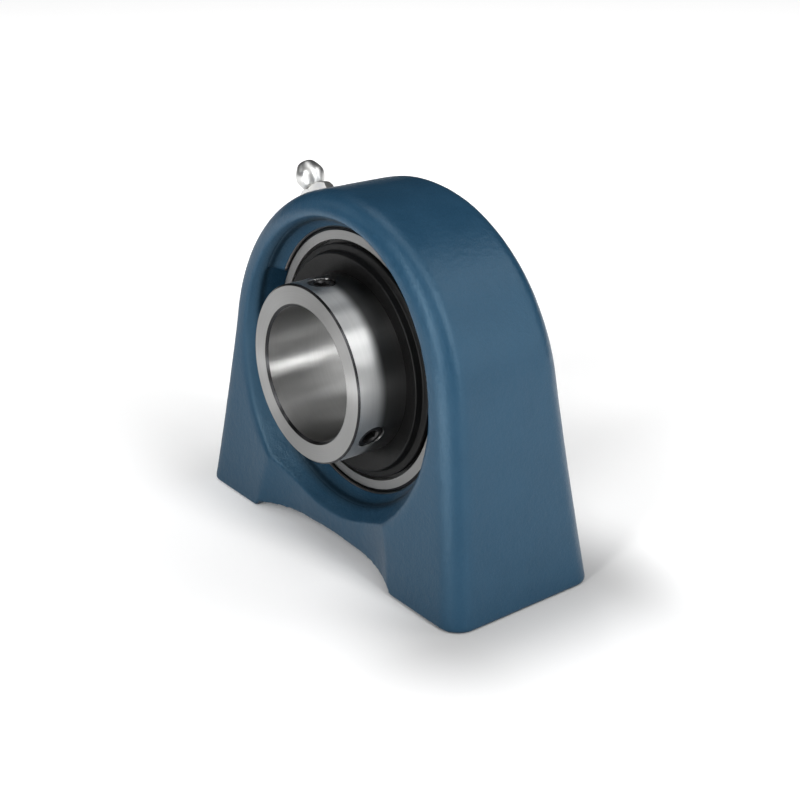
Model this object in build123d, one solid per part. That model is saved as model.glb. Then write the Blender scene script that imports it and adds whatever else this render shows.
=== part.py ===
from build123d import *
import math
import os

os.makedirs("parts", exist_ok=True)

# Pillow block bearing: short cast housing with a tapped base and a 30 mm insert
# bearing in a spherical seat.
# Millimetres. Origin on the base plane under the bearing centre. +Z up, +X along the
# housing, -Y is the locking-screw side. Shaft axis along Y at height CENTRE_H.

# ---- housing ----
CENTRE_H = 42.9          # base to shaft axis
BASE_L = 97.0            # length at the base
LEAN_DEG = 9.67          # the end faces lean in by this much
CROWN_ZC = -3.1          # crown arc centre, from the shaft axis; its radius follows
HALF_W_BASE = 19.9       # half width at the base
HALF_W_MID = 16.0        # half width just below the shaft axis
HALF_W_TOP = 14.05       # half width at the crown
CORNER_R = 5.0           # rounding of the front and rear outline edges
SEAT_R = 31.03           # spherical seat
SEAT_HALF = 9.0          # half width of the machined seat
RECESS = [(29.73, 9.0), (30.06, 9.32), (31.55, 11.35), (31.72, 11.75), (31.95, 12.55),
          (35.95, 18.3), (39.4, 23.3)]      # recess flare: radius, distance from mid-plane
SLOT_R = 32.35           # filling slots: outer radius
SLOT_HALF_H = 14.8       # filling slots: half height
GROOVE_R = 31.85         # grease groove in the seat
GROOVE_Y = (0.6, 6.0)
WEB_Y = 16.4             # web between the feet, set back from the feet's faces
WEB_FLAT_X = 10.9
WEB_SIDE_R = 34.3
ARCH_X = 26.8            # inner edge of each foot
ARCH_SHOULDER = (25.4, 1.45)
ARCH_RISE = 3.3          # arch height over the base at mid-length
BOLT_SPACING = 76.2
TAP_DRILL_R = 4.25       # M10
TAP_DEPTH = 20.0
TAP_LEAD = 0.4           # lead-in chamfer at the mouth

# ---- grease nipple ----
NIP_ANGLE = 38.0         # from vertical, towards -X
NIP_Y = -1.0
NIP_SEAT = 38.25         # spot face, from the shaft axis
NIP_HEX_AF = 7.0
NIP_HEX_T = 3.0
NIP_SHANK_R = 2.98
NIP_HOLE_R = 3.0
NIP_SHANK_L = 5.0
GREASE_R = 1.25

# ---- insert bearing ----
BORE_R = 15.0
IR_R = 19.85
IR_FRONT = -22.2
IR_REAR = 15.9
OR_R = 31.0
OR_HALF = 9.0
PCD_R = 23.0
BALL_R = 4.7625
BALLS = 9
RACE_R = 4.95
RACE_PLAY = 0.03
SCREW_Y = -17.2
SCREW_R = 2.95
SCREW_HOLE_R = 3.0
SCREW_ANGLES = (0.0, 120.0)   # from +Z towards +X

UP = Pos(0, 0, CENTRE_H)      # bearing centre


def turned(points, arc=360):
    """Solid of revolution about Y from a closed (radius, y) outline."""
    face = Face(Wire.make_polygon([(r, y, 0) for r, y in points], close=True))
    return revolve(face, axis=Axis.Y, revolution_arc=arc)


def y_cyl(r, y0, y1):
    return Pos(0, (y0 + y1) / 2, 0) * Rot(90, 0, 0) * Cylinder(r, y1 - y0)


def save(node, shape):
    export_step(shape, "parts/" + node + ".step")


# ---------------------------------------------------------------- housing
lean = math.radians(LEAN_DEG)
half_l = BASE_L / 2
# the crown arc is tangent to the leaning end faces
crown_r = (half_l - CENTRE_H * math.tan(lean)) * math.cos(lean) - CROWN_ZC * math.sin(lean)
tan_pt = (crown_r * math.cos(lean), CROWN_ZC + crown_r * math.sin(lean))
top_z = CROWN_ZC + crown_r
print("crown radius", round(crown_r, 2), "housing height", round(top_z + CENTRE_H, 2))
with BuildPart() as outline_bp:
    with BuildSketch(Plane.XZ):
        with BuildLine():
            Line((-half_l, -CENTRE_H), (half_l, -CENTRE_H))
            Line((half_l, -CENTRE_H), tan_pt)
            ThreePointArc(tan_pt, (0, top_z), (-tan_pt[0], tan_pt[1]))
            Line((-tan_pt[0], tan_pt[1]), (-half_l, -CENTRE_H))
        make_face()
    extrude(amount=30, both=True)
with BuildPart() as side_bp:
    with BuildSketch(Plane.YZ):
        with BuildLine():
            Line((-HALF_W_BASE, -CENTRE_H), (HALF_W_BASE, -CENTRE_H))
            ThreePointArc((HALF_W_BASE, -CENTRE_H), (HALF_W_MID, -0.5), (HALF_W_TOP, 39.0))
            Line((HALF_W_TOP, 39.0), (-HALF_W_TOP, 39.0))
            ThreePointArc((-HALF_W_TOP, 39.0), (-HALF_W_MID, -0.5), (-HALF_W_BASE, -CENTRE_H))
        make_face()
    extrude(amount=60, both=True)
housing = outline_bp.part & side_bp.part
rim_edges = [e for e in housing.edges()
             if abs(e.center().Y) > 10 and e.center().Z > -CENTRE_H + 1]
housing = fillet(rim_edges, CORNER_R)
# small round along the foot of the casting
foot_edges = [e for e in housing.edges() if e.bounding_box().max.Z < -CENTRE_H + 0.01]
try:
    housing = fillet(foot_edges, 0.7)
except Exception as err:
    print("foot round left off:", err)

# web between the feet, front and rear
for s in (-1, 1):
    x1 = 32.0
    run = x1 - WEB_FLAT_X
    rise = WEB_SIDE_R - math.sqrt(WEB_SIDE_R ** 2 - run ** 2)
    mid_run = run * 0.55
    mid_rise = WEB_SIDE_R - math.sqrt(WEB_SIDE_R ** 2 - mid_run ** 2)
    with BuildPart() as web_bp:
        with BuildSketch(Plane.XY.offset(-60)):
            with BuildLine():
                Line((-WEB_FLAT_X, s * WEB_Y), (WEB_FLAT_X, s * WEB_Y))
                ThreePointArc((WEB_FLAT_X, s * WEB_Y),
                              (WEB_FLAT_X + mid_run, s * (WEB_Y + mid_rise)),
                              (x1, s * (WEB_Y + rise)))
                Line((x1, s * (WEB_Y + rise)), (x1, s * 40))
                Line((x1, s * 40), (-x1, s * 40))
                Line((-x1, s * 40), (-x1, s * (WEB_Y + rise)))
                ThreePointArc((-x1, s * (WEB_Y + rise)),
                              (-WEB_FLAT_X - mid_run, s * (WEB_Y + mid_rise)),
                              (-WEB_FLAT_X, s * WEB_Y))
            make_face()
        extrude(amount=62)
    housing = housing - web_bp.part

# arch between the feet
with BuildPart() as arch_bp:
    with BuildSketch(Plane.XZ):
        with BuildLine():
            z0 = -CENTRE_H
            Line((-ARCH_X - 0.3, z0 - 1), (ARCH_X + 0.3, z0 - 1))
            Line((ARCH_X + 0.3, z0 - 1), (ARCH_X, z0))
            Line((ARCH_X, z0), (ARCH_SHOULDER[0], z0 + ARCH_SHOULDER[1]))
            ThreePointArc((ARCH_SHOULDER[0], z0 + ARCH_SHOULDER[1]), (0, z0 + ARCH_RISE),
                          (-ARCH_SHOULDER[0], z0 + ARCH_SHOULDER[1]))
            Line((-ARCH_SHOULDER[0], z0 + ARCH_SHOULDER[1]), (-ARCH_X, z0))
            Line((-ARCH_X, z0), (-ARCH_X - 0.3, z0 - 1))
        make_face()
    extrude(amount=40, both=True)
housing = housing - arch_bp.part

# bore: spherical seat between two flared recesses
void = Sphere(SEAT_R) & Box(80, 2 * SEAT_HALF + 0.4, 80)
for s in (-1, 1):
    pts = [(0.0, s * (SEAT_HALF - 0.6))] + [(29.2, s * (SEAT_HALF - 0.6)), (29.2, s * SEAT_HALF)]
    pts += [(r, s * a) for r, a in RECESS]
    pts += [(0.0, s * RECESS[-1][1])]
    void = void + turned(pts)
housing = housing - void

# filling slots at both sides, from the front to the mid-plane
slots = (y_cyl(SLOT_R, -30.0, 0.0)) & Box(100, 100, 2 * SLOT_HALF_H)
housing = housing - slots
# grease groove in the seat
housing = housing - (y_cyl(GROOVE_R, GROOVE_Y[0], GROOVE_Y[1]))

# nipple: spot face, threaded hole and grease way
NIP = Location((0, NIP_Y, 0)) * Rot(0, -NIP_ANGLE, 0)   # local +Z points out of the nipple


def nip_cyl(r, s0, s1):
    return NIP * Pos(0, 0, (s0 + s1) / 2) * Cylinder(r, s1 - s0)


housing = housing - nip_cyl(4.6, NIP_SEAT, NIP_SEAT + 6)
housing = housing - nip_cyl(NIP_HOLE_R, NIP_SEAT - NIP_SHANK_L - 0.6, NIP_SEAT + 1)
housing = housing - nip_cyl(GREASE_R, SEAT_R - 1.5, NIP_SEAT)

# tapped holes in the feet
for x in (-BOLT_SPACING / 2, BOLT_SPACING / 2):
    housing = housing - Pos(x, 0, -CENTRE_H + TAP_DEPTH / 2) * Cylinder(TAP_DRILL_R, TAP_DEPTH)
    housing = housing - Pos(x, 0, -CENTRE_H + TAP_DEPTH + 1.2) * Cone(TAP_DRILL_R, 0.2, 2.4)
    housing = housing - Pos(x, 0, -CENTRE_H + TAP_LEAD / 2) * Cone(TAP_DRILL_R + TAP_LEAD, TAP_DRILL_R, TAP_LEAD)
save("housing", UP * housing)

# ---------------------------------------------------------------- grease nipple
s0 = NIP_SEAT
head = [(2.2, s0 + NIP_HEX_T - 0.2), (2.2, s0 + 3.35), (2.5, s0 + 3.6), (3.15, s0 + 5.2),
        (3.35, s0 + 5.9), (3.35, s0 + 6.7), (3.1, s0 + 7.3), (1.75, s0 + 9.35),
        (1.55, s0 + 9.55), (0.0, s0 + 9.55), (0.0, s0 + NIP_HEX_T - 0.2)]
with BuildPart() as nip_head:
    with BuildSketch(Plane.XZ):
        with BuildLine():
            Polyline(*head, close=True)
        make_face()
    revolve(axis=Axis.Z)
hexa = Pos(0, 0, s0 + NIP_HEX_T / 2) * extrude(
    RegularPolygon(NIP_HEX_AF / 2, 6, major_radius=False), NIP_HEX_T / 2, both=True)
hexa = hexa & (Pos(0, 0, s0 + 0.5) * Cylinder(4.1, 1.0)
               + Pos(0, 0, s0 + 1.0 + (NIP_HEX_T - 1.0) / 2) * Cone(5.2, 3.55, NIP_HEX_T - 1.0))
shank = Pos(0, 0, s0 - NIP_SHANK_L / 2) * Cylinder(NIP_SHANK_R, NIP_SHANK_L)
nipple = nip_head.part + hexa + shank
nip_top = s0 + 9.55
nipple = nipple - Pos(0, 0, (s0 - 6 + nip_top - 0.8) / 2) * Cylinder(1.15, nip_top - 0.8 - (s0 - 6))
nipple = nipple - Pos(0, 0, nip_top - 0.5) * Cylinder(0.7, 1.4)
# inner ledge that carries the spring
ledge = (Pos(0, 0, s0 - NIP_SHANK_L + 0.5) * Cylinder(1.15, 0.8)) - (
    Pos(0, 0, s0 - NIP_SHANK_L + 0.5) * Cylinder(0.75, 0.8))
nipple = nipple + ledge
save("nipple_body", UP * NIP * nipple)
ball_s = nip_top - 0.8 - 0.714 - 0.03
save("nipple_ball", UP * NIP * Pos(0, 0, ball_s) * Sphere(1.0))
spring_lo = s0 - NIP_SHANK_L + 0.9 + 0.16
spring_hi = ball_s - 0.8
coil_r, wire_r = 0.82, 0.14
pitch = (spring_hi - spring_lo) / 8
path = Helix(pitch=pitch, height=spring_hi - spring_lo, radius=coil_r)
spring = sweep(Plane(origin=path @ 0, z_dir=path % 0) * Circle(wire_r), path, is_frenet=True)
save("nipple_spring", UP * NIP * Pos(0, 0, spring_lo) * spring)

# ---------------------------------------------------------------- outer ring
outer = Sphere(OR_R) & Box(80, 2 * OR_HALF, 80)
outer = outer & turned([(0, -OR_HALF), (29.1, -OR_HALF), (29.9, -OR_HALF + 0.42), (32, -OR_HALF + 0.42),
                        (32, OR_HALF - 0.42), (29.9, OR_HALF - 0.42), (29.1, OR_HALF), (0, OR_HALF)])
outer = outer - y_cyl(26.2, -10, 10)
for s in (-1, 1):
    outer = outer - turned([(20, s * 5.6), (27.35, s * 5.6), (27.35, s * 6.85), (27.07, s * 6.95),
                            (27.07, s * 8.85), (27.25, s * 9.2), (20, s * 9.2)])
outer = outer - Rot(90, 0, 0) * Torus(PCD_R + BALL_R + RACE_PLAY - RACE_R, RACE_R)
# grease holes beside the raceway
for a in (30.0, 210.0):
    outer = outer - Rot(0, a, 0) * Pos(0, 4.6, 29) * Cylinder(0.8, 8)
save("outer_ring", UP * outer)

# ---------------------------------------------------------------- inner ring
inner = turned([(BORE_R + 0.5, IR_FRONT), (IR_R - 0.37, IR_FRONT), (IR_R, IR_FRONT + 0.37),
                (IR_R, IR_REAR - 0.37), (IR_R - 0.37, IR_REAR), (BORE_R + 0.5, IR_REAR),
                (BORE_R, IR_REAR - 0.5), (BORE_R, IR_FRONT + 0.5)])
inner = inner - Rot(90, 0, 0) * Torus(PCD_R - BALL_R - RACE_PLAY + RACE_R, RACE_R)
for a in SCREW_ANGLES:
    inner = inner - Rot(0, a, 0) * Pos(0, SCREW_Y, 17.5) * Cylinder(SCREW_HOLE_R, 8)
    inner = inner - Rot(0, a, 0) * Pos(0, SCREW_Y, 20.05) * Cone(SCREW_HOLE_R, SCREW_HOLE_R + 0.5, 1.0)
save("inner_ring", UP * inner)

# ---------------------------------------------------------------- set screws
SCREW_IN, SCREW_OUT = 15.1, 19.6
for i, a in enumerate(SCREW_ANGLES):
    length = SCREW_OUT - SCREW_IN
    profile = [(0.0, SCREW_IN + 0.55), (0.9, SCREW_IN), (1.5, SCREW_IN), (2.1, SCREW_IN + 0.1),
               (SCREW_R, SCREW_IN + 0.95), (SCREW_R, SCREW_OUT - 0.45), (2.55, SCREW_OUT),
               (0.0, SCREW_OUT)]
    with BuildPart() as sc:
        with BuildSketch(Plane.XZ):
            with BuildLine():
                Polyline(*profile, close=True)
            make_face()
        revolve(axis=Axis.Z)
    screw = sc.part - Pos(0, 0, SCREW_OUT - 1.2) * extrude(
        RegularPolygon(1.5, 6, major_radius=False), 1.25, both=True)
    screw = screw - Pos(0, 0, SCREW_OUT - 0.2) * Cone(1.5, 1.95, 0.45)
    save("set_screw_%d" % (i + 1), UP * Rot(0, a, 0) * Pos(0, SCREW_Y, 0) * screw)

# ---------------------------------------------------------------- balls
for i in range(BALLS):
    a = math.radians(90 - 360.0 / BALLS * i)
    save("ball_%d" % (i + 1), UP * Pos(PCD_R * math.cos(a), 0, PCD_R * math.sin(a)) * Sphere(BALL_R))

# ---------------------------------------------------------------- cage
SHEET = 0.7
POCKET = BALL_R + 0.12
CAGE_RI, CAGE_RO = 21.3, 24.7


def y_ring(ri, ro, y0, y1):
    return y_cyl(ro, y0, y1) - y_cyl(ri, y0 - 1, y1 + 1)


cage_half = y_ring(CAGE_RI, CAGE_RO, 0.0, SHEET)
cup_band = y_ring(CAGE_RI, CAGE_RO, 0.0, 8.0)
for i in range(BALLS):
    a = math.radians(90 - 360.0 / BALLS * i)
    at = Pos(PCD_R * math.cos(a), 0, PCD_R * math.sin(a))
    cage_half = cage_half + ((at * Rot(17, 31, 0) * Sphere(POCKET + SHEET)) & cup_band)
for i in range(BALLS):
    a = math.radians(90 - 360.0 / BALLS * i)
    at = Pos(PCD_R * math.cos(a), 0, PCD_R * math.sin(a))
    cage_half = cage_half - at * Rot(17, 31, 0) * Sphere(POCKET)
    a = math.radians(90 - 360.0 / BALLS * (i + 0.5))
    cage_half = cage_half - Pos(PCD_R * math.cos(a), 0, PCD_R * math.sin(a)) * Rot(90, 0, 0) * Cylinder(0.6, 4)
save("cage_rear", UP * cage_half)
save("cage_front", UP * mirror(cage_half, about=Plane.XZ))
rivets = []
for i in range(BALLS):
    a = math.radians(90 - 360.0 / BALLS * (i + 0.5))
    rivet = Rot(90, 0, 0) * Cylinder(0.58, 2 * SHEET)
    for s in (-1, 1):
        y0 = s * SHEET
        lo, hi = sorted((y0, y0 + s * 0.45))
        rivet = rivet + (y_cyl(1.05, lo, hi))
    rivets.append(UP * Pos(PCD_R * math.cos(a), 0, PCD_R * math.sin(a)) * rivet)
save("cage_rivets", Compound(children=rivets))

# ---------------------------------------------------------------- seals and flingers
PLATE = [(20.8, 5.8), (27.0, 5.8), (27.0, 6.5), (20.8, 6.5)]
LIP = [(19.95, 5.45), (20.15, 5.45), (20.8, 5.8), (20.8, 6.5), (27.0, 6.5), (27.0, 5.8),
       (27.25, 5.8), (27.25, 6.75), (20.6, 6.75), (20.3, 6.8), (19.95, 6.8)]
FLINGER = [(19.85, 7.1), (20.95, 7.1), (20.95, 9.0), (23.2, 9.55), (23.45, 8.65), (24.1, 8.35),
           (26.05, 8.15), (26.3, 8.35), (26.3, 9.15), (26.1, 9.35), (24.95, 9.45),
           (24.75, 9.6), (24.5, 10.9), (24.3, 11.07), (24.1, 11.05), (20.3, 10.05),
           (20.1, 9.95), (19.85, 9.95)]
for s, side in ((-1, "front"), (1, "rear")):
    save("seal_plate_" + side, UP * turned([(r, s * a) for r, a in PLATE]))
    save("seal_lip_" + side, UP * turned([(r, s * a) for r, a in LIP]))
    save("flinger_" + side, UP * turned([(r, s * a) for r, a in FLINGER]))
print("written")
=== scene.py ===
import bpy
import bmesh
import math
import numpy as np
from mathutils import Matrix, Vector, noise


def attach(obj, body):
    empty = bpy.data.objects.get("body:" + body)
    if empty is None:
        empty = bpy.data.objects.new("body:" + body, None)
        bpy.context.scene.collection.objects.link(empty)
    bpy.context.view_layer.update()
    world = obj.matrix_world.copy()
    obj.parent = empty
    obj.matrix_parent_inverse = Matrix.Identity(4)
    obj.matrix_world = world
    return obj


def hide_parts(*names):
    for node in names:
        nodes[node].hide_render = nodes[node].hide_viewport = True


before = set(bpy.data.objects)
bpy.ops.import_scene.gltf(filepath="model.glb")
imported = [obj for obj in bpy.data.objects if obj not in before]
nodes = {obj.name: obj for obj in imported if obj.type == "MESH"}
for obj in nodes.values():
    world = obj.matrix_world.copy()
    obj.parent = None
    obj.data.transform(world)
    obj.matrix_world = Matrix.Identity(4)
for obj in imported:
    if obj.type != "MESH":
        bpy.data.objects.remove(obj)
bpy.context.view_layer.update()
scene = bpy.context.scene
CENTRE = 0.0429          # shaft axis above the base, metres


# ------------------------------------------------------------------ node helpers
class Mat:
    """A Principled material and short ways to add the nodes that feed it."""

    def __init__(self, name):
        self.m = bpy.data.materials.new(name)
        self.m.use_nodes = True
        self.nt = self.m.node_tree
        self.nt.nodes.clear()
        self.out = self.nt.nodes.new("ShaderNodeOutputMaterial")
        self.b = self.nt.nodes.new("ShaderNodeBsdfPrincipled")
        self.nt.links.new(self.b.outputs[0], self.out.inputs[0])
        self.coord = self.nt.nodes.new("ShaderNodeTexCoord").outputs["Object"]

    def put(self, socket, value):
        if isinstance(value, bpy.types.NodeSocket):
            self.nt.links.new(value, socket)
        elif value is not None:
            socket.default_value = value

    def set(self, name, value):
        self.put(self.b.inputs[name], value)

    def math(self, op, a, b=None, c=None, clamp=False):
        n = self.nt.nodes.new("ShaderNodeMath")
        n.operation = op
        n.use_clamp = clamp
        for i, v in enumerate((a, b, c)):
            self.put(n.inputs[i], v)
        return n.outputs[0]

    def vmath(self, op, a, b=None):
        n = self.nt.nodes.new("ShaderNodeVectorMath")
        n.operation = op
        self.put(n.inputs[0], a)
        self.put(n.inputs[1], b)
        return n.outputs["Value"] if op in ("LENGTH", "DOT_PRODUCT") else n.outputs[0]

    def xyz(self, v=None):
        n = self.nt.nodes.new("ShaderNodeSeparateXYZ")
        self.put(n.inputs[0], self.coord if v is None else v)
        return n.outputs

    def join(self, x, y, z):
        n = self.nt.nodes.new("ShaderNodeCombineXYZ")
        for i, v in enumerate((x, y, z)):
            self.put(n.inputs[i], v)
        return n.outputs[0]

    def noise(self, scale, detail=3.0, rough=0.5, vector=None, distortion=0.0):
        n = self.nt.nodes.new("ShaderNodeTexNoise")
        self.put(n.inputs["Vector"], self.coord if vector is None else vector)
        n.inputs["Scale"].default_value = scale
        n.inputs["Detail"].default_value = detail
        n.inputs["Roughness"].default_value = rough
        n.inputs["Distortion"].default_value = distortion
        return n.outputs["Fac"]

    def voronoi(self, scale, feature="F1", vector=None, smooth=None):
        n = self.nt.nodes.new("ShaderNodeTexVoronoi")
        n.feature = feature
        self.put(n.inputs["Vector"], self.coord if vector is None else vector)
        n.inputs["Scale"].default_value = scale
        if smooth is not None and "Smoothness" in n.inputs:
            n.inputs["Smoothness"].default_value = smooth
        return n.outputs["Distance"]

    def span(self, value, lo, hi, to_lo=0.0, to_hi=1.0, smooth=False):
        n = self.nt.nodes.new("ShaderNodeMapRange")
        if smooth:
            n.interpolation_type = "SMOOTHSTEP"
        self.put(n.inputs[0], value)
        for i, v in enumerate((lo, hi, to_lo, to_hi)):
            self.put(n.inputs[i + 1], v)
        return n.outputs[0]

    def mix(self, fac, a, b):
        n = self.nt.nodes.new("ShaderNodeMix")
        n.data_type = "RGBA"
        self.put(n.inputs[0], fac)
        self.put(n.inputs[6], a)
        self.put(n.inputs[7], b)
        return n.outputs[2]

    def bump(self, height, distance, strength=1.0, under=None):
        n = self.nt.nodes.new("ShaderNodeBump")
        self.put(n.inputs["Height"], height)
        n.inputs["Distance"].default_value = distance
        n.inputs["Strength"].default_value = strength
        if under is not None:
            self.put(n.inputs["Normal"], under)
        return n.outputs[0]

    def shaft_frame(self):
        """(distance from the shaft axis, position along it, direction cosine towards +Z, towards +X)."""
        x, y, z = self.xyz()
        zc = self.math("SUBTRACT", z, CENTRE)
        r = self.math("SQRT", self.math("ADD", self.math("MULTIPLY", x, x), self.math("MULTIPLY", zc, zc)))
        safe = self.math("MAXIMUM", r, 0.0001)
        return r, y, self.math("DIVIDE", zc, safe), self.math("DIVIDE", x, safe)


def rgb(r, g, b):
    return (r, g, b, 1.0)


# ------------------------------------------------------------------ materials
def paint():
    """Satin enamel over fine sand-cast iron, with the machined seat edge, base and spot face left bare."""
    m = Mat("paint_satin_cast")
    r, y, cz, cx = m.shaft_frame()
    x, yy, z = m.xyz()
    broad = m.noise(130.0, 2.0, 0.5)
    mid = m.noise(620.0, 3.0, 0.55)
    grain = m.noise(2300.0, 3.0, 0.6)
    fine = m.noise(5200.0, 2.0, 0.6)
    # colour: slow drift of the film, fine mottling where the grain shows through
    c1 = m.mix(m.span(broad, 0.3, 0.7), rgb(0.0095, 0.0370, 0.0700), rgb(0.0115, 0.0420, 0.0780))
    c2 = m.mix(m.span(grain, 0.35, 0.75, 0.0, 0.55), c1, rgb(0.0150, 0.0500, 0.0910))
    rough = m.math("ADD", m.span(grain, 0.3, 0.7, 0.31, 0.39), m.span(broad, 0.3, 0.7, -0.02, 0.03))
    # the patch on the crown is rougher and is painted darker, as shade on the top of the crown; painted shade darkens
    # the fold of the recess
    yabs = m.math("ABSOLUTE", y)
    rough_shaded_patch = m.math("MULTIPLY", m.span(m.math("MULTIPLY_ADD", broad, 0.012, cz), 0.853, 0.867, 0.0, 1.0),
                   m.math("MULTIPLY", m.span(r, 0.0400, 0.0410), m.span(yabs, 0.0135, 0.0160, 1.0, 0.0)))
    # painted shade: the fold of the recess is coloured nearly black where shade gathers
    depth = m.math("MULTIPLY_ADD", yabs, 0.95, r)
    fold = m.math("MULTIPLY", m.span(r, 0.0305, 0.0318), m.span(depth, 0.0436, 0.0470, 1.0, 0.0, smooth=True))
    fold = m.math("MULTIPLY", fold, m.span(m.math("SUBTRACT", yabs, r), -0.0212, -0.0200, 0.0, 1.0))
    c2 = m.mix(m.math("MULTIPLY", fold, 0.92), c2, rgb(0.0040, 0.0130, 0.0230))
    c2 = m.mix(m.math("MULTIPLY", rough_shaded_patch, 0.35), c2, rgb(0.0100, 0.0330, 0.0600))
    rough = m.math("MULTIPLY_ADD", rough_shaded_patch, 0.24, rough)
    rough = m.math("ADD", rough, m.math("MULTIPLY", m.span(x, -0.040, -0.018, 1.0, 0.0, smooth=True), 0.16))
    # machined bare iron
    seat = m.math("MULTIPLY", m.span(r, 0.03011, 0.03015, 1.0, 0.0),
                  m.span(m.math("ABSOLUTE", y), 0.00938, 0.00944, 1.0, 0.0))
    seat_band = m.math("MULTIPLY", m.span(r, 0.0316, 0.0317, 1.0, 0.0),
                       m.span(m.math("ABSOLUTE", y), 0.00885, 0.00890, 1.0, 0.0))
    base = m.span(z, 0.00002, 0.00006, 1.0, 0.0)
    bare = m.math("MAXIMUM", m.math("MAXIMUM", seat, seat_band), base)
    lines = m.noise(1.0, 2.0, 0.5, vector=m.join(m.math("MULTIPLY", r, 9000.0), m.math("MULTIPLY", y, 9000.0), m.math("MULTIPLY", cz, 2.0)))
    iron = m.mix(lines, rgb(0.22, 0.205, 0.20), rgb(0.34, 0.32, 0.31))
    m.set("Base Color", m.mix(bare, c2, iron))
    m.set("Roughness", m.math("ADD", m.math("MULTIPLY", rough, m.math("SUBTRACT", 1.0, bare)), m.math("MULTIPLY", bare, 0.33)))
    m.set("Metallic", bare)
    m.set("Specular IOR Level", 0.42)
    m.set("Specular Tint", rgb(0.56, 0.82, 1.0))
    keep = m.math("SUBTRACT", 1.0, bare)
    n1 = m.bump(m.math("MULTIPLY", mid, keep), 0.00009)
    n2 = m.bump(m.math("MULTIPLY", grain, keep), 0.000045, under=n1)
    n3 = m.bump(m.math("MULTIPLY", fine, keep), 0.000012, under=n2)
    n4 = m.bump(m.math("MULTIPLY", lines, bare), 0.000004, under=n3)
    m.set("Normal", n4)
    return m.m


def ground_steel(name, cyl=0.60, face=0.34, rough=0.33, aniso=0.9, edges=(), bore=1.0, painted_shade_band=None):
    """Ground bearing steel: fine lines round the shaft axis; the base colour is painted brighter on the cylinders than
    on the faces and can be set darker in the bore, as light and shade.
    The shade band argument (y where the painted shade starts, y where it is full, how much stays) paints shade on the
    outside beside the flinger. edges lists (sign of y, limit of radius + sign * y, True above or False below it) in
    metres for chamfers left dark."""
    m = Mat(name)
    r, y, cz, cx = m.shaft_frame()
    wander = m.math("MULTIPLY", cz, 0.35)
    vec = m.join(m.math("MULTIPLY_ADD", r, 14000.0, wander), m.math("MULTIPLY_ADD", y, 14000.0, wander), m.math("MULTIPLY", cx, 0.8))
    lines = m.noise(1.0, 3.0, 0.6, vector=vec)
    coarse = m.noise(1.0, 2.0, 0.5, vector=m.join(m.math("MULTIPLY", r, 2600.0), m.math("MULTIPLY", y, 2600.0), m.math("MULTIPLY", cx, 0.6)))
    cloud = m.noise(110.0, 3.0, 0.5)
    # the geometry's own normal tells faces from cylinders
    g = m.nt.nodes.new("ShaderNodeNewGeometry")
    ny = m.math("ABSOLUTE", m.xyz(g.outputs["True Normal"])[1])
    on_face = m.span(ny, 0.8, 0.95)
    # painted light and shade: the cylinders, the faces and the bore get different brightness of the same steel
    level = m.math("MULTIPLY_ADD", on_face, face - cyl, cyl)
    level = m.math("MULTIPLY", level, m.span(r, 0.0151, 0.0154, bore, 1.0))
    if painted_shade_band:
        # painted shade: the outside is darkened up to the flinger, standing in for the housing rim's shadow and the
        # flinger's reflection
        flinger_side_shade = m.math("MAXIMUM", m.span(y, painted_shade_band[0], painted_shade_band[1], 1.0, painted_shade_band[2], smooth=True), m.span(y, -0.002, 0.002))
        flinger_side_shade = m.math("MAXIMUM", flinger_side_shade, m.span(r, 0.0156, 0.0160, 1.0, 0.0))
        level = m.math("MULTIPLY", level, flinger_side_shade)
    level = m.math("MULTIPLY", level, m.math("ADD", m.span(cloud, 0.3, 0.7, 0.97, 1.03), m.span(coarse, 0.3, 0.7, -0.03, 0.03)))
    dark = None
    for sign, limit, above in edges:
        v = m.math("MULTIPLY_ADD", y, sign, r)
        e = m.span(v, limit - 0.00002, limit, 0.0, 1.0) if above else m.span(v, limit, limit + 0.00002, 1.0, 0.0)
        dark = e if dark is None else m.math("MAXIMUM", dark, e)
    tint = m.join(level, level, m.math("MULTIPLY", level, 0.99))
    if dark is not None:
        tint = m.mix(dark, tint, rgb(0.035, 0.035, 0.037))
    m.set("Base Color", tint)
    m.set("Metallic", 1.0)
    m.set("Roughness", m.math("ADD", m.span(lines, 0.3, 0.7, rough - 0.03, rough + 0.04),
                              m.math("MULTIPLY_ADD", on_face, 0.06, m.span(cloud, 0.3, 0.7, -0.02, 0.02))))
    m.set("Normal", m.bump(coarse, 0.0000012, under=m.bump(lines, 0.0000010)))
    if aniso:
        m.set("Anisotropic", aniso)
        m.set("Anisotropic Rotation", 0.25)
        t = m.nt.nodes.new("ShaderNodeTangent")
        t.direction_type = "RADIAL"
        t.axis = "Y"
        m.set("Tangent", t.outputs[0])
    return m.m


def rubber(name, base=0.016, rough=0.42, shine=0.5):
    """Moulded nitrile with a fine satin skin."""
    m = Mat(name)
    grain = m.noise(4200.0, 3.0, 0.6)
    mid = m.noise(900.0, 2.0, 0.5)
    dust = m.noise(260.0, 4.0, 0.6)
    m.set("Base Color", m.mix(m.span(dust, 0.45, 0.75, 0.0, 0.5), rgb(base, base, base * 1.02), rgb(base * 2.2, base * 2.2, base * 2.15)))
    m.set("Roughness", m.math("ADD", m.span(grain, 0.3, 0.7, rough - 0.05, rough + 0.07), m.span(dust, 0.4, 0.7, 0.0, 0.06)))
    m.set("Specular IOR Level", shine)
    m.set("Normal", m.bump(grain, 0.000012, under=m.bump(mid, 0.00002)))
    return m.m


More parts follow.
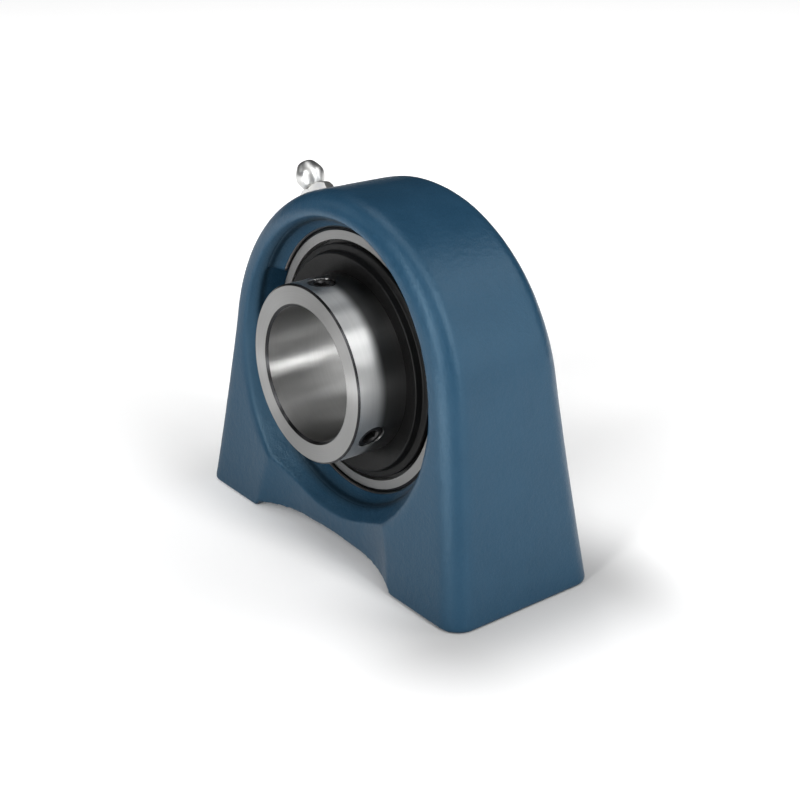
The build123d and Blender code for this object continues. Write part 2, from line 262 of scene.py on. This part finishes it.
def plated(name, base=0.70, rough=0.16):
    """Bright zinc plating with faint handling marks."""
    m = Mat(name)
    cloud = m.noise(420.0, 3.0, 0.55)
    fine = m.noise(5000.0, 2.0, 0.5)
    m.set("Base Color", m.mix(m.span(cloud, 0.3, 0.7), rgb(base * 0.95, base * 0.96, base * 0.97), rgb(base * 1.05, base * 1.04, base)))
    m.set("Metallic", 1.0)
    m.set("Roughness", m.math("ADD", m.span(cloud, 0.3, 0.7, rough - 0.04, rough + 0.06), m.span(fine, 0.3, 0.7, -0.01, 0.02)))
    m.set("Normal", m.bump(fine, 0.000003, under=m.bump(cloud, 0.00001)))
    return m.m


def black_oxide(name):
    m = Mat(name)
    cloud = m.noise(700.0, 3.0, 0.6)
    fine = m.noise(6000.0, 2.0, 0.5)
    m.set("Base Color", m.mix(m.span(cloud, 0.35, 0.7), rgb(0.030, 0.030, 0.032), rgb(0.075, 0.073, 0.072)))
    m.set("Metallic", 0.85)
    m.set("Roughness", m.span(cloud, 0.3, 0.7, 0.26, 0.42))
    m.set("Normal", m.bump(fine, 0.000004))
    return m.m


def sheet_steel(name, base=0.50, rough=0.30):
    m = Mat(name)
    cloud = m.noise(300.0, 3.0, 0.55)
    fine = m.noise(4800.0, 2.0, 0.55)
    m.set("Base Color", m.mix(m.span(cloud, 0.3, 0.7), rgb(base * 0.9, base * 0.9, base * 0.9), rgb(base * 1.08, base * 1.07, base * 1.04)))
    m.set("Metallic", 1.0)
    m.set("Roughness", m.span(cloud, 0.3, 0.7, rough - 0.06, rough + 0.08))
    m.set("Normal", m.bump(fine, 0.000004))
    return m.m


PAINT = paint()
# cyl, face and bore give one steel a painted brightness per surface, as light and shade; on the inner ring the outside
# beside the flinger is painted darker as shade
STEEL = ground_steel("steel_ground", cyl=0.68, face=0.29, bore=0.57, painted_shade_band=(-0.0176, -0.0148, 0.16),
                     edges=((-1.0, 0.04165, True), (1.0, 0.03535, True), (1.0, -0.00666, False), (-1.0, -0.00036, False)))
RACE = ground_steel("steel_ground_outer", cyl=0.50, face=0.245, rough=0.34, aniso=0.6,
                    edges=((-1.0, 0.03812, True), (1.0, 0.03812, True)))
BALL = plated("steel_lapped", base=0.66, rough=0.09)
SHEET = sheet_steel("steel_sheet")
WIRE = sheet_steel("steel_wire", base=0.42, rough=0.28)
RUBBER = rubber("rubber_seal")
FLING = rubber("rubber_flinger", base=0.0040, rough=0.40, shine=0.15)
ZINC = plated("zinc_bright", base=0.66, rough=0.37)
OXIDE = black_oxide("black_oxide")

finish_of = {"housing": PAINT, "nipple_body": ZINC, "nipple_ball": BALL, "nipple_spring": WIRE,
             "outer_ring": RACE, "inner_ring": STEEL, "set_screw_1": OXIDE, "set_screw_2": OXIDE,
             "cage_front": SHEET, "cage_rear": SHEET, "cage_rivets": SHEET,
             "seal_plate_front": SHEET, "seal_plate_rear": SHEET,
             "seal_lip_front": RUBBER, "seal_lip_rear": RUBBER,
             "flinger_front": FLING, "flinger_rear": FLING}
for i in range(1, 10):
    finish_of["ball_%d" % i] = BALL
for name, m in finish_of.items():
    o = nodes[name]
    for s in o.material_slots:
        s.material = m


# ------------------------------------------------------------------ housing casting
def neighbours_mean(co, e, deg):
    out = np.empty_like(co)
    for k in range(3):
        out[:, k] = np.bincount(e[:, 0], co[e[:, 1], k], len(co)) + np.bincount(e[:, 1], co[e[:, 0], k], len(co))
    return out / deg


def soften(co, e, weight, rounds, step=0.5):
    deg = np.maximum(np.bincount(e.ravel(), minlength=len(co)), 1)[:, None]
    w = (weight * step)[:, None]
    for _ in range(rounds):
        co += (neighbours_mean(co, e, deg) - co) * w
    return co


def ramp(v, lo, hi):
    t = np.clip((v - lo) / (hi - lo), 0.0, 1.0)
    return t * t * (3 - 2 * t)


def new_object(name, mesh, material, body, replaced=()):
    o = bpy.data.objects.new(name, mesh)
    scene.collection.objects.link(o)
    mesh.materials.clear()
    mesh.materials.append(material)
    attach(o, body)
    for n in replaced:
        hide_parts(n)
    return o


VOXEL = 0.36             # mm


def cast_body():
    """The casting with its cast edges rounded and its skin slightly uneven, machined faces left true."""
    bm = bmesh.new()
    bm.from_mesh(nodes["housing"].data)
    for v in bm.verts:
        v.co *= 1000.0
    bmesh.ops.remove_doubles(bm, verts=bm.verts, dist=0.0005)
    raw = bpy.data.meshes.new("raw")
    bm.to_mesh(raw)
    bm.free()
    tmp = bpy.data.objects.new("tmp", raw)
    scene.collection.objects.link(tmp)
    mod = tmp.modifiers.new("voxel", "REMESH")
    mod.mode = "VOXEL"
    mod.voxel_size = VOXEL
    mod.use_smooth_shade = True
    dg = bpy.context.evaluated_depsgraph_get()
    me = bpy.data.meshes.new_from_object(tmp.evaluated_get(dg))
    bpy.data.objects.remove(tmp)
    me.name = "housing_casting"
    n = len(me.vertices)
    co = np.empty(n * 3, np.float32)
    me.vertices.foreach_get("co", co)
    co = co.reshape(-1, 3).astype(np.float64)
    e = np.empty(len(me.edges) * 2, np.int32)
    me.edges.foreach_get("vertices", e)
    e = e.reshape(-1, 2)
    x, y, z = co[:, 0], co[:, 1], co[:, 2] - 42.9
    r = np.hypot(x, z)
    ay = np.abs(y)
    # machined or drilled: seat, slots, tapped holes, nipple seat
    machined = np.zeros(n)
    machined = np.maximum(machined, (1 - ramp(r, 32.4, 32.8)) * (1 - ramp(ay, 12.2, 12.9)))
    na = math.radians(38.0)
    s = -x * math.sin(na) + z * math.cos(na)
    d = np.sqrt(np.maximum(x * x + z * z - s * s, 0) + (y + 1.0) ** 2)
    machined = np.maximum(machined, (1 - ramp(d, 4.9, 5.6)) * (s > 25))
    tap = np.minimum(np.hypot(x - 38.1, y), np.hypot(x + 38.1, y))
    machined = np.maximum(machined, (1 - ramp(tap, 5.0, 5.6)) * (z < -15))
    cast = 1 - machined
    lo, hi = co.min(0).copy(), co.max(0).copy()
    # the recess rim, the arch and the ground line are crisper than the other cast edges
    rim = (1 - ramp(r, 40.0, 42.0)) * ramp(ay, 11.0, 12.0) * ramp(z + 0.6 * x, -26.0, -8.0)
    arch = (1 - ramp(np.abs(x), 33.0, 36.0)) * (1 - ramp(z, -27.0, -23.0))
    ground = 1 - ramp(z, -41.6, -40.4)
    crisp = np.maximum(np.maximum(0.84 * rim, 0.75 * arch), 0.8 * ground)
    co = soften(co, e, cast * (1 - crisp), 10)
    # folds beside the web run out softly
    fold = ramp(np.abs(x), 20.0, 26.0) * (1 - ramp(np.abs(x), 38.0, 42.0)) * ramp(ay, 9.0, 12.0) * ramp(z, -41.0, -37.0) * (1 - ramp(z, -6.0, 2.0)) * cast
    co = soften(co, e, fold, 30)
    # unevenness of the mould and of the sand, along the normals
    me.vertices.foreach_set("co", co.astype(np.float32).ravel())
    me.update()
    nrm = np.empty(n * 3, np.float32)
    me.vertices.foreach_get("normal", nrm)
    nrm = nrm.reshape(-1, 3).astype(np.float64)
    flat_base = ramp(co[:, 2], 0.15, 1.2)
    amount = cast * flat_base
    h = np.zeros(n)
    for i in range(n):
        if amount[i] > 0.01:
            p = Vector(co[i])
            h[i] = (0.050 * noise.noise(p * 0.085) + 0.020 * noise.noise(p * 0.36 + Vector((7, 3, 1)))
                    + 0.010 * noise.noise(p * 1.05 + Vector((1, 9, 4))))
    co += nrm * (h * amount)[:, None]
    # the seat's edge is covered by the turned ring made below, so the casting steps back under it
    x, z = co[:, 0], co[:, 2] - 42.9
    r = np.hypot(x, z)
    ay = np.abs(co[:, 1])
    back = ramp(r, 28.8, 29.3) * (1 - ramp(r, 31.8, 32.5)) * ramp(ay, 8.3, 8.7) * (1 - ramp(ay, 12.2, 13.1))
    k = 0.28 * back
    seat = 0.12 * (1 - ramp(r, 31.3, 31.7)) * (1 - ramp(ay, 8.2, 8.6))
    co[:, 0] += x / np.maximum(r, 1) * (0.8 * k + seat)
    co[:, 2] += z / np.maximum(r, 1) * (0.8 * k + seat)
    co[:, 1] -= np.sign(co[:, 1]) * 0.6 * k
    co = np.clip(co, lo, hi) / 1000.0
    me.vertices.foreach_set("co", co.astype(np.float32).ravel())
    me.update()
    return me


def towards(q, p, reach):
    """A point on the way from q to p: a quarter of it, at most reach."""
    d = math.hypot(p[0] - q[0], p[1] - q[1])
    t = min(0.25, reach / max(d, 1e-9))
    return (q[0] + (p[0] - q[0]) * t, q[1] + (p[1] - q[1]) * t)


def soft_profile(points, keep=(), rounds=2, reach=0.2, closed=False):
    """Cuts the corners of a (radius, y) outline, apart from its ends and those in keep."""
    for _ in range(rounds):
        n = len(points)
        out = []
        for i, q in enumerate(points):
            if q in keep or (not closed and i in (0, n - 1)):
                out.append(q)
                continue
            out.append(towards(q, points[i - 1], reach))
            out.append(towards(q, points[(i + 1) % n], reach))
        points = out
        reach *= 0.5
    return points


def turned_mesh(name, outline, arcs, steps=288, smooth=True, centre_z=CENTRE):
    """Closed outline [(radius mm, y mm)] turned about the shaft axis, whole or over arcs (degrees from +Z to +X)."""
    bm = bmesh.new()
    for a0, a1 in arcs:
        whole = abs(a1 - a0) >= 359.9
        count = steps if whole else max(2, round(steps * (a1 - a0) / 360.0))
        rings = []
        for k in range(count if whole else count + 1):
            a = math.radians(a0 + (a1 - a0) * k / count)
            rings.append([bm.verts.new((r / 1000 * math.sin(a), y / 1000, centre_z + r / 1000 * math.cos(a))) for r, y in outline])
        m = len(outline)
        for k in range(count):
            p, q = rings[k], rings[(k + 1) % len(rings)]
            for i in range(m):
                j = (i + 1) % m
                bm.faces.new((p[i], p[j], q[j], q[i]))
        if not whole:
            bm.faces.new(rings[0][::-1])
            bm.faces.new(rings[-1])
    bmesh.ops.recalc_face_normals(bm, faces=bm.faces)
    me = bpy.data.meshes.new(name)
    bm.to_mesh(me)
    bm.free()
    for p in me.polygons:
        p.use_smooth = smooth
    return me


def seat_edge(side):
    """Machined edge of the spherical seat and the cone that opens it, front (-1) or rear (1)."""
    face = [(29.81, 8.75), (29.81, 9.0), (30.06, 9.32), (31.55, 11.35), (31.72, 11.75), (31.95, 12.55), (32.75, 13.45)]
    face = soft_profile(face, keep=((29.81, 9.0), (30.06, 9.32)), rounds=2)
    back = [(33.05, 13.2), (32.3, 12.2), (32.0, 11.2), (30.6, 9.2), (30.2, 8.75)]
    outline = [(r, side * a) for r, a in face + back]
    arcs = [(-61.3, 61.3), (118.7, 241.3)] if side < 0 else [(0, 360)]
    return turned_mesh("seat_edge_" + ("front" if side < 0 else "rear"), outline, arcs)


def flinger(side):
    """The flinger's own section with its moulded corners rounded."""
    loop = [(19.85, 7.1), (20.95, 7.1), (20.95, 9.0), (23.2, 9.55), (23.45, 8.65), (24.1, 8.35), (26.05, 8.15), (26.3, 8.35),
            (26.3, 9.15), (26.1, 9.35), (24.95, 9.45), (24.75, 9.6), (24.5, 10.9), (24.3, 11.07), (24.1, 11.05), (20.3, 10.05),
            (20.1, 9.95), (19.85, 9.95)]
    loop = soft_profile(loop, keep=((19.85, 7.1), (19.85, 9.95)), rounds=2, reach=0.12, closed=True)
    return turned_mesh("flinger_" + ("front" if side < 0 else "rear"), [(r, side * a) for r, a in loop], [(0, 360)], steps=256)


def nipple():
    """The nipple with a smoothly turned head and its hexagon's edges broken."""
    lean = math.radians(38.0)
    axis = Vector((-math.sin(lean), 0.0, math.cos(lean)))
    foot = Vector((0.0, -0.001, CENTRE))
    top = 38.25                # spot face, mm from the shaft axis along the nipple
    bm = bmesh.new()
    bm.from_mesh(nodes["nipple_body"].data)
    bmesh.ops.remove_doubles(bm, verts=bm.verts, dist=0.0000005)
    gone = []
    for f in bm.faces:
        q = f.calc_center_median() - foot
        up_ = q.dot(axis)
        out = (q - axis * up_).length
        if up_ > (top + 3.03) / 1000 and not (out < 0.0012 and up_ < (top + 8.7) / 1000):
            gone.append(f)
    bmesh.ops.delete(bm, geom=gone, context="FACES")
    sharp = [e for e in bm.edges if len(e.link_faces) == 2 and e.calc_face_angle(0.0) > 0.35
             and min((v.co - foot).dot(axis) for v in e.verts) > (top + 0.2) / 1000
             and min(((v.co - foot) - axis * (v.co - foot).dot(axis)).length for v in e.verts) > 0.0030]
    bmesh.ops.bevel(bm, geom=sharp, offset=0.00013, segments=2, profile=0.5, affect="EDGES", clamp_overlap=True)
    for f in bm.faces:
        f.smooth = False
    head = [(2.2, 2.9), (2.2, 3.4), (2.5, 3.75), (3.1, 5.0), (3.35, 5.8), (3.35, 6.6), (3.08, 7.45), (2.35, 8.75), (1.8, 9.38),
            (1.45, 9.55), (0.95, 9.55), (0.70, 9.35), (0.70, 8.75), (1.15, 8.7)]
    head = soft_profile(head, keep=((2.2, 2.9), (0.70, 8.75)), rounds=3, reach=0.5)
    across = Vector((0.0, 1.0, 0.0))
    side_ = axis.cross(across)
    n = 96
    rings = []
    for k in range(n):
        a = 2 * math.pi * k / n
        d = across * math.cos(a) + side_ * math.sin(a)
        rings.append([bm.verts.new(foot + axis * ((top + h) / 1000) + d * (r / 1000)) for r, h in head])
    for k in range(n):
        p, q = rings[k], rings[(k + 1) % n]
        for i in range(len(head) - 1):
            f = bm.faces.new((p[i], q[i], q[i + 1], p[i + 1]))
            f.smooth = True
    me = bpy.data.meshes.new("nipple_turned")
    bm.to_mesh(me)
    bm.free()
    return me


new_object("nipple_turned", nipple(), ZINC, "housing", ["nipple_body"])
casting = new_object("housing_casting", cast_body(), PAINT, "housing", ["housing"])
for side, word in ((-1, "front"), (1, "rear")):
    new_object("housing_seat_edge_" + word, seat_edge(side), PAINT, "housing")
    new_object("flinger_moulded_" + word, flinger(side), FLING, "inner_ring", ["flinger_" + word])
print("casting vertices", len(casting.data.vertices))


# ------------------------------------------------------------------ floor
floor_mesh = bpy.data.meshes.new("floor")
F = 4.0
floor_mesh.from_pydata([(-F, -F, 0), (F, -F, 0), (F, F, 0), (-F, F, 0)], [], [(0, 1, 2, 3)])
floor = bpy.data.objects.new("floor", floor_mesh)
scene.collection.objects.link(floor)
fm = Mat("floor_pale")
fx, fy, fz = fm.xyz()
reach = fm.vmath("LENGTH", fm.join(fm.math("MAXIMUM", fm.math("SUBTRACT", fm.math("ABSOLUTE", fx), 0.046), 0.0),
                                   fm.math("MAXIMUM", fm.math("SUBTRACT", fm.math("ABSOLUTE", fy), 0.018), 0.0), 0.0))
# painted contact shadow: the table's colour is darker beside the right end of the part
painted_contact_shadow = fm.math("MULTIPLY", fm.span(reach, 0.0, 0.030, 0.62, 0.0, smooth=True), fm.span(fx, 0.010, 0.050, smooth=True))
fm.set("Base Color", fm.mix(painted_contact_shadow, fm.mix(fm.noise(6.0, 3.0), rgb(0.90, 0.90, 0.90), rgb(0.92, 0.92, 0.92)), rgb(0.16, 0.16, 0.16)))
fm.set("Roughness", fm.span(fm.noise(40.0, 2.0), 0.3, 0.7, 0.75, 0.85))
fm.set("Normal", fm.bump(fm.noise(900.0, 2.0), 0.00002))
fm.set("Specular IOR Level", 0.2)
# a lit white table: a faint glow, stronger away from the middle where the lamps fall off; behind on the right it glows
# more, as painted light over the front lamps' shadow
away = fm.vmath("LENGTH", fm.vmath("SUBTRACT", fm.coord, (0.045, 0.008, 0.0)))
fm.set("Emission Color", rgb(1.0, 1.0, 1.0))
# painted light: extra glow behind on the right, filling the front lamps' shadow
behind = fm.math("MULTIPLY", fm.span(fy, 0.020, 0.050, 0.0, 0.20, smooth=True), fm.span(fx, -0.01, 0.03, smooth=True))
fm.set("Emission Strength", fm.math("ADD", behind, fm.math("ADD", fm.span(away, 0.045, 0.125, 0.0, 0.22, smooth=True), fm.span(away, 0.12, 0.45, 0.0, 0.55, smooth=True))))
floor.data.materials.append(fm.m)


# ------------------------------------------------------------------ light
world = bpy.data.worlds.new("studio")
scene.world = world
world.use_nodes = True
bg = world.node_tree.nodes["Background"]
bg.inputs[0].default_value = (1.0, 1.0, 1.0, 1.0)
bg.inputs[1].default_value = 0.02


def softbox(name, at, look, size, power, size_y=None):
    d = bpy.data.lights.new(name, "AREA")
    d.shape = "RECTANGLE"
    d.size = size
    d.size_y = size_y or size
    d.energy = power
    o = bpy.data.objects.new(name, d)
    o.location = at
    o.rotation_mode = "QUATERNION"
    o.rotation_quaternion = (Vector(look) - Vector(at)).to_track_quat("-Z", "Y")
    scene.collection.objects.link(o)
    return o


def around(name, azimuth, elevation, size, power, size_y=None, distance=1.0):
    """A softbox facing the part; azimuth from the front (-Y) towards +X, in degrees."""
    a, e = math.radians(azimuth), math.radians(elevation)
    at = Vector((math.sin(a) * math.cos(e), -math.cos(a) * math.cos(e), math.sin(e))) * distance
    return softbox(name, at, (0, 0, 0.04), size, power, size_y)


# a tall narrow panel on the right, from low down to nearly overhead
around("key_low", 94, 12, 0.22, 1.0, 0.34)
around("key_middle", 96, 31, 0.20, 2.1, 0.34)
around("key_high", 96, 51, 0.20, 2.6, 0.34)
around("key_top", 92, 74, 0.34, 1.1)
around("top", 0, 89, 0.40, 0.6)
around("left_top", 270, 72, 0.36, 1.0)
# a sloping panel behind on the right
around("back_right_high", 153, 48, 0.34, 1.1)
around("back_right_middle", 138, 33, 0.34, 0.8)
around("back_right_low", 127, 17, 0.34, 1.2)
# in front: low, high, and to the left
around("front_low", 16, 13, 0.16, 1.2, 0.16)
around("front_high", -2, 48, 0.20, 1.1)
around("front_strip", 14, 30, 0.16, 3.4, 0.34)
around("front_left", 306, 32, 0.36, 0.4)
# a strip at the front right for the long front edge, and a lit table top below the picture
around("edge_high", 47, 42, 0.22, 0.6, 0.30)
around("edge_strip", 41, 18, 0.09, 0.5, 0.46)
table = softbox("table_front", (0.062, -0.215, 0.002), (0.062, -0.215, 1.0), 0.16, 0.6, 0.14)
table.rotation_mode = "XYZ"
table.rotation_euler = (math.pi, 0.0, math.radians(8.0))
# small lamp low behind the part, shining through the bore
lamp = softbox("bore_back", (-0.033, 0.049, 0.0616), (0, 0.016, CENTRE), 0.021, 0.0068)
lamp.data.spread = math.radians(46.0)

# ------------------------------------------------------------------ camera
AZ, EL, ROLL = map(math.radians, (52.218, 22.715, 0.079))
back = Vector((math.sin(AZ) * math.cos(EL), -math.cos(AZ) * math.cos(EL), math.sin(EL)))
right = Vector((math.cos(AZ), math.sin(AZ), 0.0))
up = back.cross(right)
R = right * math.cos(ROLL) + up * math.sin(ROLL)
U = up * math.cos(ROLL) - right * math.sin(ROLL)
cam_data = bpy.data.cameras.new("camera")
cam_data.sensor_width = 36.0
cam_data.lens = 1381.22 / 800.0 * 36.0
cam_data.clip_start = 0.01
cam_data.clip_end = 20.0
cam = bpy.data.objects.new("camera", cam_data)
spot = back * 0.30850 + R * 0.002923 + U * -0.010584 + Vector((0, 0, CENTRE))
cam.matrix_world = Matrix(((R.x, U.x, back.x, spot.x), (R.y, U.y, back.y, spot.y), (R.z, U.z, back.z, spot.z), (0, 0, 0, 1)))
scene.collection.objects.link(cam)
scene.camera = cam

scene.view_settings.view_transform = "Standard"
scene.view_settings.look = "None"

bpy.context.view_layer.update()
